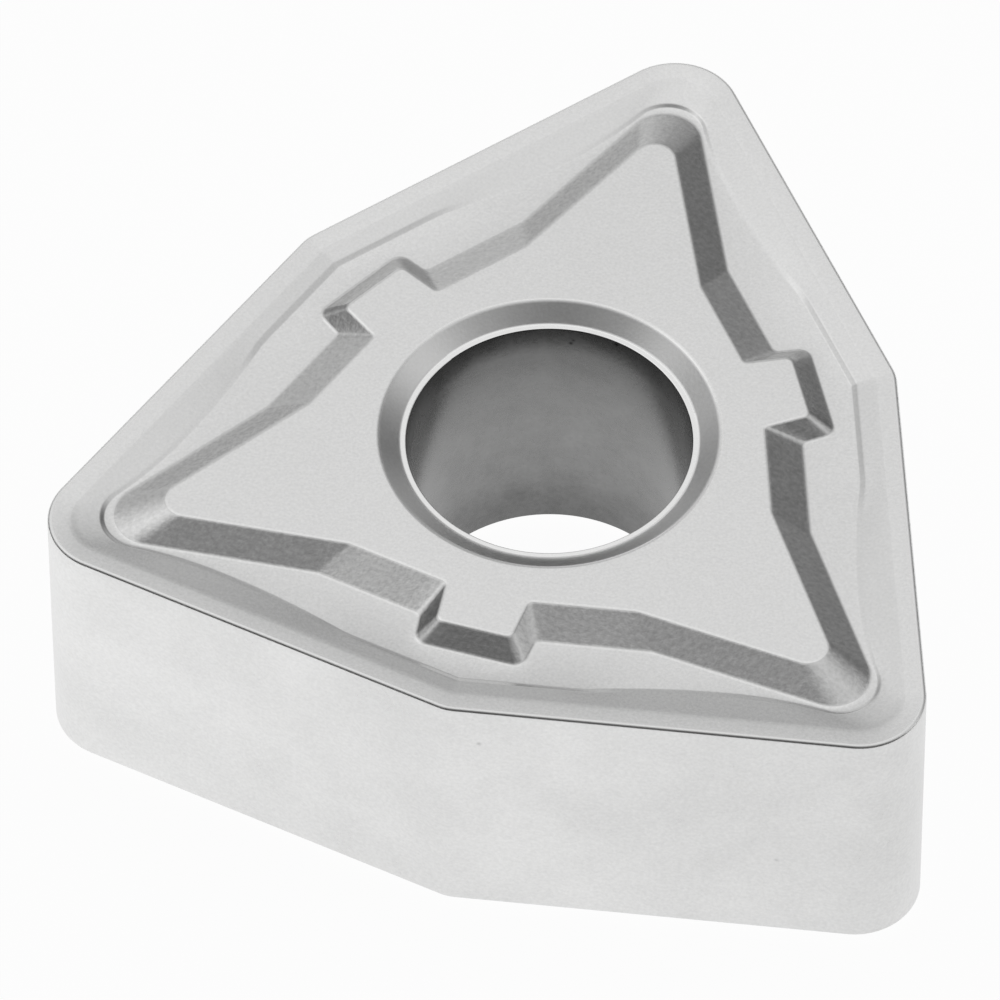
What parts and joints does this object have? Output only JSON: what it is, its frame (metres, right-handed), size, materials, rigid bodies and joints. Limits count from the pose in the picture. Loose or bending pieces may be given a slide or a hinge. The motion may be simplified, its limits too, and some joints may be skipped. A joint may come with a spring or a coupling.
{
  "type": "carbide turning insert",
  "caption": "Double-sided trigon turning insert of sintered carbide, with a moulded chipbreaker on both faces and a countersunk central hole.",
  "frame": {"origin": "on the hole's axis, in the plane of the lower seat", "axes": "+Z along the hole's axis, out of the upper face; +Y towards the first cutting nose"},
  "size_m": [0.0162, 0.0156, 0.0059],
  "materials": {
    "carbide": "satin, as sintered, lightly honed edges"
  },
  "bodies": {
    "root": {"insert": "carbide"}
  },
  "joints": []
}
